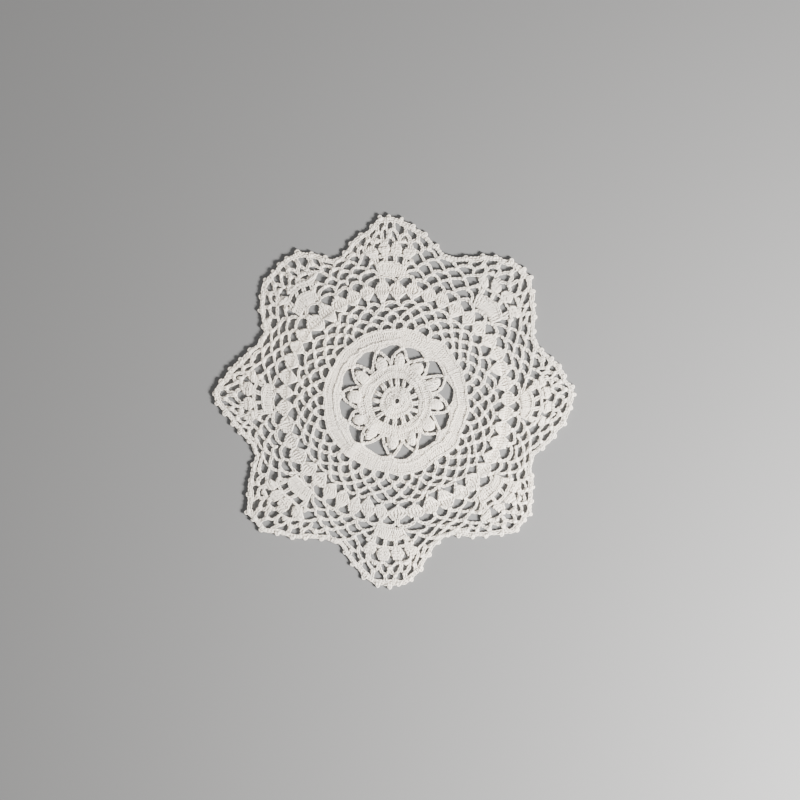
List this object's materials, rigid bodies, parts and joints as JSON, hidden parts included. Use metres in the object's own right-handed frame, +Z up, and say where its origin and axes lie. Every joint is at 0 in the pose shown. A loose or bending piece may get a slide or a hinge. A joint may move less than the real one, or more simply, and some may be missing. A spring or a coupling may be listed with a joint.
{
  "type": "crocheted lace doily",
  "caption": "Round crocheted cotton doily with a petalled centre, a close band, open net, a round of shells and an edge of soft points, lying flat.",
  "frame": {"origin": "on the surface under the middle of the doily", "axes": "+Z up through the thickness, +X to the right of the picture, +Y to its top"},
  "size_m": [0.2804, 0.289, 0.003],
  "materials": {
    "cotton_thread": "matt off-white mercerised cotton thread"
  },
  "bodies": {
    "root": {"doily": "cotton_thread"}
  },
  "joints": []
}
